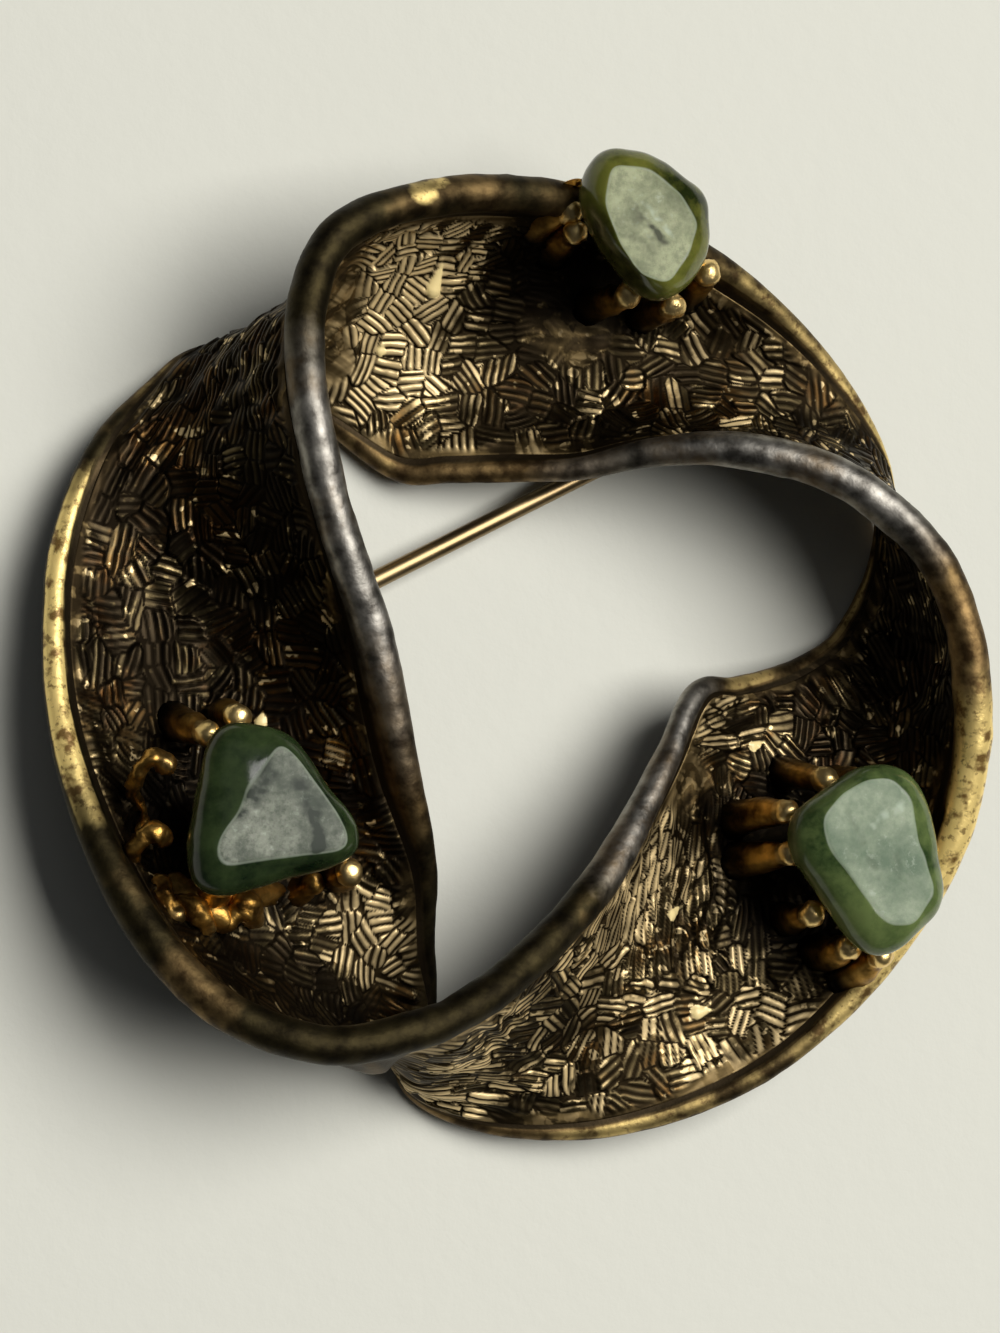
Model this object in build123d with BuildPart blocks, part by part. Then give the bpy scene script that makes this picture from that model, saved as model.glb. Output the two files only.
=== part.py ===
"""Circle brooch: a cast ribbon closed into a ring by three half turns, three tumbled stones and a pin.

Millimetres. The brooch lies on its back on z = 0 with the ring's axis on z.
"""

import os
from collections import namedtuple
from math import asin, cos, floor, pi, radians, sin, sqrt

from build123d import *

# Ribbon
ring_radius = 25.0
crest_height = 11.35
wall = 1.1
crest_bead = 1.0
rim_bead = 0.62
trough_depth = 3.4
trough_fullness = 2.3
stations_per_row = 4
points_across = 8
points_round_bead = 6

# Stones and their claws
stone_height = 3.3
stone_corner = 0.8
stone_seat_gap = 0.08
claw_tip_radius = 0.55
claw_root_radius = 0.85
claw_ball_radius = 0.7
claw_splay = 0.5
claw_height = 4.0

# Pin, hinge and catch
pin_turn = 27.6
pin_offset = 0.268 * ring_radius
pin_height = 1.3
pin_radius = 0.5
pin_root_radius = 0.62
pin_root_length = 2.6
pin_point_length = 4.0
pin_point_radius = 0.15
pin_past_catch = 1.6
hinge_reach = 0.68 * ring_radius
catch_reach = 0.82 * ring_radius
eye_radius = 0.95
eye_width = 1.3
eye_side_clearance = 0.1
rivet_radius = 0.4
rivet_clearance = 0.03
eye_clearance = 0.05
ear_width = 0.75
ear_length = 2.3
catch_width = 0.7
catch_length = 2.0
catch_clearance = 0.2
roof_clearance = 0.15

# One row per cross section of a panel. A turn is an angle round the ring in degrees, a reach
# a share of ring_radius, a rise a share of the way from the resting rim up to the crest,
# and a dip a share of trough_depth.
Section = namedtuple(
    "Section", "outer_turn outer_reach outer_rise inner_turn inner_reach inner_rise dip"
)

TOP_PANEL = [
    Section(135, 0.750, 1.000, 134, 0.872, 0.004, 0.35),
    Section(127, 0.868, 0.995, 126, 0.640, 0.011, 0.80),
    Section(118, 0.945, 0.963, 118, 0.462, 0.069, 1.10),
    Section(104, 0.950, 0.873, 105, 0.414, 0.164, 1.15),
    Section(88, 0.950, 0.751, 88, 0.404, 0.244, 1.10),
    Section(72, 0.950, 0.614, 70, 0.432, 0.371, 1.00),
    Section(56, 0.965, 0.466, 56, 0.528, 0.550, 0.80),
    Section(41, 0.988, 0.312, 44, 0.632, 0.736, 0.50),
    Section(27, 1.010, 0.133, 30, 0.760, 0.894, 0.10),
]

RIGHT_PANEL = [
    Section(16, 0.868, 0.984, 16, 0.960, 0.018, 0.35),
    Section(6, 0.916, 0.995, 6, 0.840, 0.007, 0.80),
    Section(-3, 0.950, 0.947, 0, 0.696, 0.090, 1.00),
    Section(-13, 0.992, 0.831, -5, 0.532, 0.238, 1.05),
    Section(-26, 1.024, 0.662, -9, 0.424, 0.371, 1.00),
    Section(-42, 1.040, 0.466, -32, 0.388, 0.503, 0.90),
    Section(-58, 1.040, 0.307, -56, 0.420, 0.630, 0.75),
    Section(-75, 1.016, 0.175, -76, 0.508, 0.762, 0.45),
    Section(-90, 0.976, 0.074, -91, 0.616, 0.857, 0.10),
]

LEFT_PANEL = [
    Section(-102, 0.736, 0.942, -101, 0.904, 0.010, 0.35),
    Section(-111, 0.840, 0.979, -101, 0.744, 0.022, 0.80),
    Section(-122, 0.952, 0.979, -106, 0.616, 0.201, 1.00),
    Section(-136, 1.010, 0.862, -115, 0.476, 0.434, 1.05),
    Section(-152, 1.000, 0.688, -138, 0.372, 0.640, 1.10),
    Section(-170, 0.986, 0.482, -163, 0.340, 0.751, 1.10),
    Section(-188, 0.978, 0.312, -187, 0.378, 0.836, 0.90),
    Section(-203, 0.965, 0.201, -203, 0.474, 0.910, 0.50),
    Section(-215, 0.925, 0.069, -215, 0.600, 0.968, 0.10),
]

PANELS = [TOP_PANEL, RIGHT_PANEL, LEFT_PANEL]
ROWS = TOP_PANEL + RIGHT_PANEL + LEFT_PANEL
HALF_LOOP = len(ROWS)

# Stones. A corner is a share of the stone's length from its middle, a claw a turn round the
# stone in degrees and a reach as a share of the stone's length.
Stone = namedtuple("Stone", "name turn reach seat_rise length corners claws")

STONES = [
    Stone(
        "stone_top", 77.3, 0.903, 0.835, 7.6,
        [(-0.34, 0.52), (0.03, 0.50), (0.44, 0.25), (0.47, -0.16),
         (0.25, -0.47), (0.05, -0.54), (-0.29, -0.20), (-0.48, 0.21)],
        [(20, 0.42), (60, 0.40), (95, 0.42), (134, 0.58), (161, 0.44),
         (181, 0.37), (272, 0.41), (305, 0.58), (339, 0.63)],
    ),
    Stone(
        "stone_right", -31.2, 0.826, 0.777, 9.6,
        [(-0.06, 0.52), (0.23, 0.53), (0.36, 0.29), (0.45, -0.23),
         (0.10, -0.55), (-0.04, -0.51), (-0.46, 0.06), (-0.44, 0.25)],
        [(10, 0.36), (50, 0.42), (80, 0.46), (107, 0.47), (143, 0.46),
         (172, 0.35), (232, 0.36), (269, 0.47), (290, 0.54), (330, 0.42)],
    ),
    Stone(
        "stone_left", 210.7, 0.677, 0.777, 9.4,
        [(-0.34, 0.47), (0.07, 0.42), (0.50, -0.16), (0.41, -0.27),
         (-0.41, -0.49), (-0.48, -0.28)],
        [(20, 0.32), (60, 0.34), (105, 0.53), (126, 0.51), (155, 0.55),
         (193, 0.58), (229, 0.70), (240, 0.44), (267, 0.52), (327, 0.58)],
    ),
]

# How a stone swells from its seat to its flat top: share of its height, share of its outline.
SWELL = [(0.0, 0.70), (0.22, 0.92), (0.45, 1.0), (0.75, 0.96), (0.93, 0.88), (1.0, 0.78)]


def edge_row(row):
    """The ribbon's single edge at a row: it runs twice round, out and in on every other panel."""
    lap, place = divmod(row % (2 * HALF_LOOP), len(TOP_PANEL))
    section = ROWS[(lap % 3) * len(TOP_PANEL) + place]
    if lap % 2 == 0:
        turn, reach, rise = section.outer_turn, section.outer_reach, section.outer_rise
    else:
        turn, reach, rise = section.inner_turn, section.inner_reach, section.inner_rise
    height = rim_bead + rise * (crest_height - rim_bead)
    radius = reach * ring_radius
    return Vector(radius * cos(radians(turn)), radius * sin(radians(turn)), height)


def dip_row(row):
    """The trough's depth at a row, with its sign towards the side that faces up there."""
    lap, place = divmod(row % (2 * HALF_LOOP), len(TOP_PANEL))
    side = 1 if lap % 2 == 0 else -1
    return side * ROWS[(lap % 3) * len(TOP_PANEL) + place].dip


def curve(row_value, u):
    """A smooth curve through the values at whole rows, at the place u between them."""
    start = floor(u)
    f = u - start
    before, first, second, after = [row_value(start + step) for step in (-1, 0, 1, 2)]
    return (
        first * 2
        + (second - before) * f
        + (before * 2 - first * 5 + second * 4 - after) * f**2
        + (first * 3 - before - second * 3 + after) * f**3
    ) * 0.5


def edge(u):
    return curve(edge_row, u)


def bead_radius(u):
    """The edge is a fine rim where it lies low and a rolled tube where it rides high."""
    rise = (edge(u).Z - rim_bead) / (crest_height - rim_bead)
    share = min(max((rise - 0.35) / 0.45, 0.0), 1.0)
    return rim_bead + (crest_bead - rim_bead) * share * share * (3 - 2 * share)


class Crossing:
    """The ribbon's cross section at u, from one edge to the other."""

    def __init__(self, u):
        self.u = u
        self.near = edge(u)
        self.far = edge(u + HALF_LOOP)
        ahead = edge(u + 0.01) + edge(u + 0.01 + HALF_LOOP)
        behind = edge(u - 0.01) + edge(u - 0.01 + HALF_LOOP)
        self.across = self.far - self.near
        self.up = (ahead - behind).cross(self.across).normalized()
        self.dip = curve(dip_row, u) * trough_depth

    def middle(self, t):
        sag = self.dip * (1 - abs(2 * t - 1) ** trough_fullness)
        return self.near + self.across * t + self.up * sag


def surface_normal(before, here, after, t):
    along = after.middle(t) - before.middle(t)
    across = here.middle(t + 0.01) - here.middle(t - 0.01)
    return along.cross(across).normalized()


def bead_points(u, inward, side):
    """Points round the rolled edge at u, from the side of the wall named round to the other."""
    radius = bead_radius(u)
    along = (edge(u + 0.01) - edge(u - 0.01)).normalized()
    inward = (inward - along * inward.dot(along)).normalized()
    upward = along.cross(inward)
    if upward.dot(side) < 0:
        upward = upward * -1
    start = asin(wall / 2 / radius)
    step = (2 * pi - 2 * start) / (points_round_bead + 1)
    turns = [start + step * (count + 1) for count in range(points_round_bead)]
    return [edge(u) + inward * radius * cos(a) + upward * radius * sin(a) for a in turns]


def section_points(u):
    """The closed outline of the ribbon's section at u: front wall, bead, back wall, bead."""
    before, here, after = Crossing(u - 0.01), Crossing(u), Crossing(u + 0.01)
    width = here.across.length
    start = sqrt(bead_radius(u) ** 2 - wall**2 / 4) / width
    end = 1 - sqrt(bead_radius(u + HALF_LOOP) ** 2 - wall**2 / 4) / width
    places = [start + (end - start) * i / (points_across - 1) for i in range(points_across)]
    normals = [surface_normal(before, here, after, t) for t in places]
    front = [here.middle(t) + n * (wall / 2) for t, n in zip(places, normals)]
    back = [here.middle(t) - n * (wall / 2) for t, n in zip(places, normals)]
    far_bead = bead_points(u + HALF_LOOP, here.middle(0.92) - here.far, normals[-1])
    near_bead = bead_points(u, here.middle(0.08) - here.near, normals[0] * -1)
    return front + far_bead + back[::-1] + near_bead


def ribbon_solid():
    """The whole ribbon as one closed faceted solid; its last section meets the first turned over."""
    count = HALF_LOOP * stations_per_row
    rings = [section_points(i / stations_per_row) for i in range(count)]
    half = len(rings[0]) // 2
    rings.append(rings[0][half:] + rings[0][:half])
    faces = []
    for lower, upper in zip(rings, rings[1:]):
        for i in range(len(lower)):
            a, b = lower[i - 1], lower[i]
            c, d = upper[i], upper[i - 1]
            if (c - a).length < (d - b).length:
                corners = [(a, b, c), (a, c, d)]
            else:
                corners = [(a, b, d), (b, c, d)]
            faces += [Face(Wire.make_polygon(three, close=True)) for three in corners]
    return Solid(Shell(faces))


def ring_point(turn, reach, height):
    radius = reach * ring_radius
    return Vector(radius * cos(radians(turn)), radius * sin(radians(turn)), height)


FLOOR_NET = []
for step in range(HALF_LOOP * 4):
    crossing = Crossing(step / 4)
    FLOOR_NET += [crossing.middle(t / 20) for t in range(1, 20)]


def nearest_in_wall(point):
    """The point in the middle of the ribbon's wall that lies nearest."""
    return min(FLOOR_NET, key=lambda place: (place - point).length)


def wall_height_over(place):
    """The height of the middle of the ribbon's wall above a place on the brooch's back."""
    return min(FLOOR_NET, key=lambda point: (point.X - place.X) ** 2 + (point.Y - place.Y) ** 2).Z


def seat_plane(stone):
    """The plane that the stone's underside lies on."""
    height = rim_bead + stone.seat_rise * (crest_height - rim_bead)
    return Plane(ring_point(stone.turn, stone.reach, height))


def claw_tips(stone):
    """The middles of the ball tips, just under the plane of the stone's seat."""
    seat = seat_plane(stone)
    for turn, reach in stone.claws:
        out = Vector(cos(radians(turn)), sin(radians(turn)), 0)
        drop = claw_ball_radius + stone_seat_gap
        yield seat.origin + out * (reach * stone.length) - Vector(0, 0, drop), out


upright = (Align.CENTER, Align.CENTER, Align.MIN)


def add_claw(tip, out):
    """One claw, from the middle of the ribbon's wall up to its ball tip."""
    root = nearest_in_wall(tip + out * claw_splay - Vector(0, 0, claw_height))
    with Locations(Plane(root, z_dir=tip - root)):
        Cone(claw_root_radius, claw_tip_radius, (tip - root).length, align=upright)
    with Locations(Location(tip)):
        Sphere(claw_ball_radius)


# The pin lies along x of this plane, which is the flat that the brooch lies on.
pin_side = Vector(-sin(radians(pin_turn)), cos(radians(pin_turn)), 0)
pin_frame = Plane(
    origin=pin_side * pin_offset,
    x_dir=(cos(radians(pin_turn)), sin(radians(pin_turn)), 0),
    z_dir=(0, 0, 1),
)
hinge_top = wall_height_over(pin_frame.from_local_coords(Vector(-hinge_reach, 0, 0)))
catch_top = wall_height_over(pin_frame.from_local_coords(Vector(catch_reach, 0, 0)))
hinge_axis = Plane(
    origin=pin_frame.from_local_coords(Vector(-hinge_reach, 0, pin_height)), z_dir=pin_side
)
pin_start = Plane(origin=hinge_axis.origin, z_dir=pin_frame.x_dir)
pin_length = hinge_reach + catch_reach + pin_past_catch

eye_gap = eye_width + 2 * eye_side_clearance
hinge_width = eye_gap + 2 * ear_width
hinge_bottom = pin_height - eye_radius
catch_gap = 2 * (pin_radius + catch_clearance)
catch_bottom = pin_height - pin_radius


def add_bracket(reach, length, width, gap, bottom, roof, top):
    """A soldered block across the pin, with a slot up its middle that the pin swings out of."""
    with Locations(pin_frame.location * Location((reach, 0, bottom))):
        Box(length, width, top - bottom, align=upright)
        Box(length, gap, roof - bottom, align=upright, mode=Mode.SUBTRACT)


with BuildPart() as soldered:
    for stone in STONES:
        for tip, out in claw_tips(stone):
            add_claw(tip, out)
    add_bracket(
        -hinge_reach, ear_length, hinge_width, eye_gap,
        hinge_bottom, pin_height + eye_radius + roof_clearance, hinge_top,
    )
    add_bracket(
        catch_reach, catch_length, catch_gap + 2 * catch_width, catch_gap,
        catch_bottom, pin_height + pin_radius + catch_clearance, catch_top,
    )
    with Locations(hinge_axis):
        Cylinder(rivet_radius + rivet_clearance, hinge_width, mode=Mode.SUBTRACT)

with BuildPart() as ring_frame:
    add(ribbon_solid())
    add(soldered.part, clean=False)

with BuildPart() as hinge_rivet:
    with BuildSketch(hinge_axis.offset(-hinge_width / 2)):
        Circle(rivet_radius)
    extrude(amount=hinge_width)

with BuildPart() as pin_stem:
    with Locations(pin_start):
        Cone(pin_root_radius, pin_radius, pin_root_length, align=upright)
    with BuildSketch(pin_start.offset(pin_root_length)):
        Circle(pin_radius)
    extrude(amount=pin_length - pin_root_length - pin_point_length)
    with Locations(pin_start.offset(pin_length - pin_point_length)):
        Cone(pin_radius, pin_point_radius, pin_point_length, align=upright)
    with Locations(hinge_axis):
        Cylinder(eye_radius, eye_width)
    with Locations(hinge_axis):
        Cylinder(rivet_radius + eye_clearance, 2 * eye_width, mode=Mode.SUBTRACT)


def stone_part(stone):
    """A tumbled pebble: one rounded outline that swells from the seat and draws in to a flat top."""
    with BuildPart() as pebble:
        for height, share in SWELL:
            with BuildSketch(seat_plane(stone).offset(height * stone_height)) as outline:
                with BuildLine():
                    corners = [Vector(x, y) * stone.length * share for x, y in stone.corners]
                    Polyline(*corners, close=True)
                make_face()
                fillet(outline.vertices(), stone_corner * share)
        loft(ruled=True)
    pebble.part.label = stone.name
    return pebble


ring_frame.part.label = "ring_frame"
hinge_rivet.part.label = "hinge_rivet"
pin_stem.part.label = "pin_stem"
parts = [ring_frame, hinge_rivet, pin_stem] + [stone_part(stone) for stone in STONES]

os.makedirs("parts", exist_ok=True)
for piece in parts:
    export_step(piece.part, f"parts/{piece.part.label}.step")
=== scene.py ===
"""The look of the circle brooch: hatched cast ribbon, rolled edges, claws, tumbled stones and pin."""

import math
from collections import namedtuple
from itertools import product

import bpy
import numpy as np
from mathutils import Matrix, Vector, kdtree


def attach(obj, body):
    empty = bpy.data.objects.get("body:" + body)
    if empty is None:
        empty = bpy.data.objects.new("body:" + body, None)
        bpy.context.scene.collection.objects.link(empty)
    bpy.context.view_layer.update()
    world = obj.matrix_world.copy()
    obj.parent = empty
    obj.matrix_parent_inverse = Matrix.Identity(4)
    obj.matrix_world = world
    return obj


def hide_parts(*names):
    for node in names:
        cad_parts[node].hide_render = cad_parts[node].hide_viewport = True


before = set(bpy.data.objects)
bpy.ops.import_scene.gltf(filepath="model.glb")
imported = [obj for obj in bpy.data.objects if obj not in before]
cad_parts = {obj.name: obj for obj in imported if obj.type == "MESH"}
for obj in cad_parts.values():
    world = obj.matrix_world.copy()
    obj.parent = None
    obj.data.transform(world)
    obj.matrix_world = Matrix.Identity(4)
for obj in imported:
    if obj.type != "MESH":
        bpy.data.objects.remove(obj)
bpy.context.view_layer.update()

MM = 0.001

# Named sizes, in millimetres
ring_radius = 25.0
crest_height = 11.35
wall = 1.1
crest_bead = 1.0
rim_bead = 0.62
trough_depth = 3.4
trough_fullness = 2.3
stone_height = 3.3
stone_seat_gap = 0.08

# The ribbon's cross-sections. Each edge has a turn in degrees, a reach as a share of ring_radius and a
# rise as a share of the way up to the crest; dip is the trough's depth there as a share of trough_depth.
Section = namedtuple(
    "Section", "outer_turn outer_reach outer_rise inner_turn inner_reach inner_rise dip"
)
TOP_PANEL = [
    (135, 0.750, 1.000, 134, 0.872, 0.004, 0.35),
    (127, 0.868, 0.995, 126, 0.640, 0.011, 0.80),
    (118, 0.945, 0.963, 118, 0.462, 0.069, 1.10),
    (104, 0.950, 0.873, 105, 0.414, 0.164, 1.15),
    (88, 0.950, 0.751, 88, 0.404, 0.244, 1.10),
    (72, 0.950, 0.614, 70, 0.432, 0.371, 1.00),
    (56, 0.965, 0.466, 56, 0.528, 0.550, 0.80),
    (41, 0.988, 0.312, 44, 0.632, 0.736, 0.50),
    (27, 1.010, 0.133, 30, 0.760, 0.894, 0.10),
]

RIGHT_PANEL = [
    (16, 0.868, 0.984, 16, 0.960, 0.018, 0.35),
    (6, 0.916, 0.995, 6, 0.840, 0.007, 0.80),
    (-3, 0.950, 0.947, 0, 0.696, 0.090, 1.00),
    (-13, 0.992, 0.831, -5, 0.532, 0.238, 1.05),
    (-26, 1.024, 0.662, -9, 0.424, 0.371, 1.00),
    (-42, 1.040, 0.466, -32, 0.388, 0.503, 0.90),
    (-58, 1.040, 0.307, -56, 0.420, 0.630, 0.75),
    (-75, 1.016, 0.175, -76, 0.508, 0.762, 0.45),
    (-90, 0.976, 0.074, -91, 0.616, 0.857, 0.10),
]

LEFT_PANEL = [
    (-102, 0.736, 0.942, -101, 0.904, 0.010, 0.35),
    (-111, 0.840, 0.979, -101, 0.744, 0.022, 0.80),
    (-122, 0.952, 0.979, -106, 0.616, 0.201, 1.00),
    (-136, 1.010, 0.862, -115, 0.476, 0.434, 1.05),
    (-152, 1.000, 0.688, -138, 0.372, 0.640, 1.10),
    (-170, 0.986, 0.482, -163, 0.340, 0.751, 1.10),
    (-188, 0.978, 0.312, -187, 0.378, 0.836, 0.90),
    (-203, 0.965, 0.201, -203, 0.474, 0.910, 0.50),
    (-215, 0.925, 0.069, -215, 0.600, 0.968, 0.10),
]

ROWS = [Section(*row) for row in TOP_PANEL + RIGHT_PANEL + LEFT_PANEL]
PANEL_ROWS = len(TOP_PANEL)
HALF_LOOP = len(ROWS)
LOOP = 2 * HALF_LOOP
# How far apart points lie that give a direction, in rows and in shares of the ribbon's width.
STEP = 0.01

# Each stone's place on the ring, its length in mm, its outline as shares of the length, and the turn and
# the reach of each claw, also as a share of the length.
Stone = namedtuple("Stone", "name turn reach seat_rise length corners claws")

STONES = [
    Stone(
        "stone_top", 77.3, 0.903, 0.835, 7.6,
        [(-0.34, 0.52), (0.03, 0.50), (0.44, 0.25), (0.47, -0.16),
         (0.25, -0.47), (0.05, -0.54), (-0.29, -0.20), (-0.48, 0.21)],
        [(20, 0.42), (60, 0.40), (95, 0.42), (134, 0.58), (161, 0.44),
         (181, 0.37), (272, 0.41), (305, 0.58), (339, 0.63)],
    ),
    Stone(
        "stone_right", -31.2, 0.826, 0.777, 9.6,
        [(-0.06, 0.52), (0.23, 0.53), (0.36, 0.29), (0.45, -0.23),
         (0.10, -0.55), (-0.04, -0.51), (-0.46, 0.06), (-0.44, 0.25)],
        [(10, 0.36), (50, 0.42), (80, 0.46), (107, 0.47), (143, 0.46),
         (172, 0.35), (232, 0.36), (269, 0.47), (290, 0.54), (330, 0.42)],
    ),
    Stone(
        "stone_left", 210.7, 0.677, 0.777, 9.4,
        [(-0.34, 0.47), (0.07, 0.42), (0.50, -0.16), (0.41, -0.27),
         (-0.41, -0.49), (-0.48, -0.28)],
        [(20, 0.32), (60, 0.34), (105, 0.53), (126, 0.51), (155, 0.55),
         (193, 0.58), (229, 0.70), (240, 0.44), (267, 0.52), (327, 0.58)],
    ),
]


# The ribbon, as in the CAD
def on_ring(turn, reach, rise):
    a = math.radians(turn)
    radius = reach * ring_radius
    height = rim_bead + rise * (crest_height - rim_bead)
    return np.array([radius * math.cos(a), radius * math.sin(a), height])


def edge_and_dip_rows():
    """The edge's places and the trough's dips, row by row over both laps."""
    places, dips = [], []
    for row in range(LOOP):
        lap, place = divmod(row, PANEL_ROWS)
        s = ROWS[(lap % 3) * PANEL_ROWS + place]
        if lap % 2 == 0:
            places.append(on_ring(s.outer_turn, s.outer_reach, s.outer_rise))
            dips.append(s.dip)
        else:
            places.append(on_ring(s.inner_turn, s.inner_reach, s.inner_rise))
            dips.append(-s.dip)
    return np.array(places), np.array(dips)


EDGE_ROWS, DIP_ROWS = edge_and_dip_rows()


def spline(a, b, c, d, f):
    """The point f of the way from b to c on a smooth curve through a, b, c and d."""
    return 0.5 * (
        2 * b + (c - a) * f + (2 * a - 5 * b + 4 * c - d) * f**2 + (3 * b - a - 3 * c + d) * f**3
    )


def curve(table, u):
    """A table's value u rows along the loop."""
    u = np.asarray(u, float)
    start = np.floor(u).astype(int)
    f = u - start
    if table.ndim > 1:
        f = f[..., None]
    return spline(*[table[(start + k) % LOOP] for k in (-1, 0, 1, 2)], f)


def edge(u):
    return curve(EDGE_ROWS, u)


def unit(v):
    return v / np.maximum(np.linalg.norm(v, axis=-1, keepdims=True), 1e-12)


def smoothstep(low, high, value):
    share = np.clip((value - low) / (high - low), 0, 1)
    return share * share * (3 - 2 * share)


def edge_rise(u):
    return (edge(u)[..., 2] - rim_bead) / (crest_height - rim_bead)


def bead_radius(u):
    return rim_bead + (crest_bead - rim_bead) * smoothstep(0.35, 0.8, edge_rise(u))


def middle(u, t):
    """A point halfway through the wall, u rows along the loop and t of the way across it."""
    near = edge(u)
    far = edge(u + HALF_LOOP)
    ahead = edge(u + STEP) + edge(u + STEP + HALF_LOOP)
    behind = edge(u - STEP) + edge(u - STEP + HALF_LOOP)
    across = far - near
    up = unit(np.cross(ahead - behind, across))
    dip = curve(DIP_ROWS, u) * trough_depth
    sag = dip * (1 - np.abs(2 * t - 1) ** trough_fullness)
    return near + across * t[..., None] + up * sag[..., None]


def wall_normal(u, t):
    along = middle(u + STEP, t) - middle(u - STEP, t)
    across = middle(u, t + STEP) - middle(u, t - STEP)
    return unit(np.cross(along, across))


def skin(u, t):
    """A point of the ribbon's side that faces +normal at u; u runs over both laps."""
    n = wall_normal(u, t)
    return middle(u, t) + n * (wall / 2), n


class Noise:
    """Smooth value noise on a lattice, seeded and repeatable."""

    def __init__(self, seed, places=4096):
        self.table = np.random.default_rng(seed).uniform(-1, 1, places)

    def lattice(self, x, y, z):
        place = x * 73 + y * 1259 + z * 3313 + x * y * 7 + y * z * 13
        return self.table[place % len(self.table)]

    def __call__(self, p):
        i = np.floor(p).astype(int)
        f = p - i
        f = f * f * (3 - 2 * f)
        total = 0
        for step in product((0, 1), repeat=3):
            x, y, z = (f[..., k] if step[k] else 1 - f[..., k] for k in range(3))
            total = total + x * y * z * self.lattice(*(i[..., k] + step[k] for k in range(3)))
        return total


lumps = Noise(11)
grain = Noise(23)


# Meshes
def add_object(name, data):
    obj = bpy.data.objects.new(name, data)
    bpy.context.scene.collection.objects.link(obj)
    return obj


def add_mesh(name, points, faces, attributes=None, smooth=True):
    """A mesh object from points in mm and one array of faces, or a list of arrays by face size."""
    mesh = bpy.data.meshes.new(name)
    points = np.asarray(points, float) * MM
    groups = [np.asarray(g, np.int32) for g in (faces if isinstance(faces, list) else [faces])]
    corners = np.concatenate([g.ravel() for g in groups])
    sizes = np.concatenate([np.full(len(g), g.shape[1], np.int32) for g in groups])
    mesh.vertices.add(len(points))
    mesh.vertices.foreach_set("co", points.ravel())
    mesh.loops.add(len(corners))
    mesh.loops.foreach_set("vertex_index", corners)
    mesh.polygons.add(len(sizes))
    mesh.polygons.foreach_set("loop_start", np.cumsum(sizes, dtype=np.int32) - sizes)
    mesh.polygons.foreach_set("loop_total", sizes)
    if smooth:
        mesh.polygons.foreach_set("use_smooth", np.ones(len(sizes), bool))
    mesh.update(calc_edges=True)
    mesh.validate()
    for key, values in (attributes or {}).items():
        layer = mesh.attributes.new(key, "FLOAT", "POINT")
        layer.data.foreach_set("value", np.asarray(values, np.float32).ravel())
    return add_object(name, mesh)


def grid_faces(rows, columns, wrap=False):
    """Quads of a rows × columns grid of points, with the columns closed round if wrap."""
    i = np.arange(rows - 1)[:, None]
    j = np.arange(columns if wrap else columns - 1)[None, :]
    k = (j + 1) % columns
    a = i * columns + j
    b = i * columns + k
    c = (i + 1) * columns + k
    d = (i + 1) * columns + j
    return np.stack([a, b, c, d], -1).reshape(-1, 4)


def dress(obj, material, node):
    """Gives a piece its material and its body, and hides the CAD node that it stands for."""
    obj.data.materials.append(material)
    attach(obj, "brooch")
    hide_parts(node)


# The ribbon's smooth body: how many rows of points lie between two cross-sections, and how many points
# each row has over the wall and round the bead.
STATIONS = 15
WALL_POINTS = 40
BEAD_POINTS = 20
wall_drop = 0.07
wrinkle_pitch = 1.25
wrinkle_depth = 0.13
wrinkle_stretch = 1.5
# The gilding where no spot of it is near, and how little that weighs beside a spot.
plain_gilding = 0.2
plain_weight = 0.04
# How far the painted shade in the recess round a crown reaches from its stone's middle, as a share of
# the stone's length.
painted_shade_reach = 0.62

# Long wrinkles run where the ribbon is folded hardest: a place and a reach in mm, the wrinkle's
# direction in degrees in plan, and how much longer than wide its hatched patches are.
Wrinkle = namedtuple("Wrinkle", "x y reach turn stretch")
WRINKLES = [Wrinkle(*row) for row in [
    (8.6, -11.8, 5.2, 94, 2.6), (-14.9, 16.6, 5.4, 46, 2.4), (-20.5, 12.0, 4.0, 58, 2.2),
    (20.0, 2.6, 5.0, -62, 2.2), (-3.8, -22.4, 5.4, -14, 2.6), (11.5, -2.2, 3.4, 14, 2.2),
]]

# A spot seen in plan: x, y and reach in mm, and a share.
Spot = namedtuple("Spot", "x y reach share")

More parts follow.
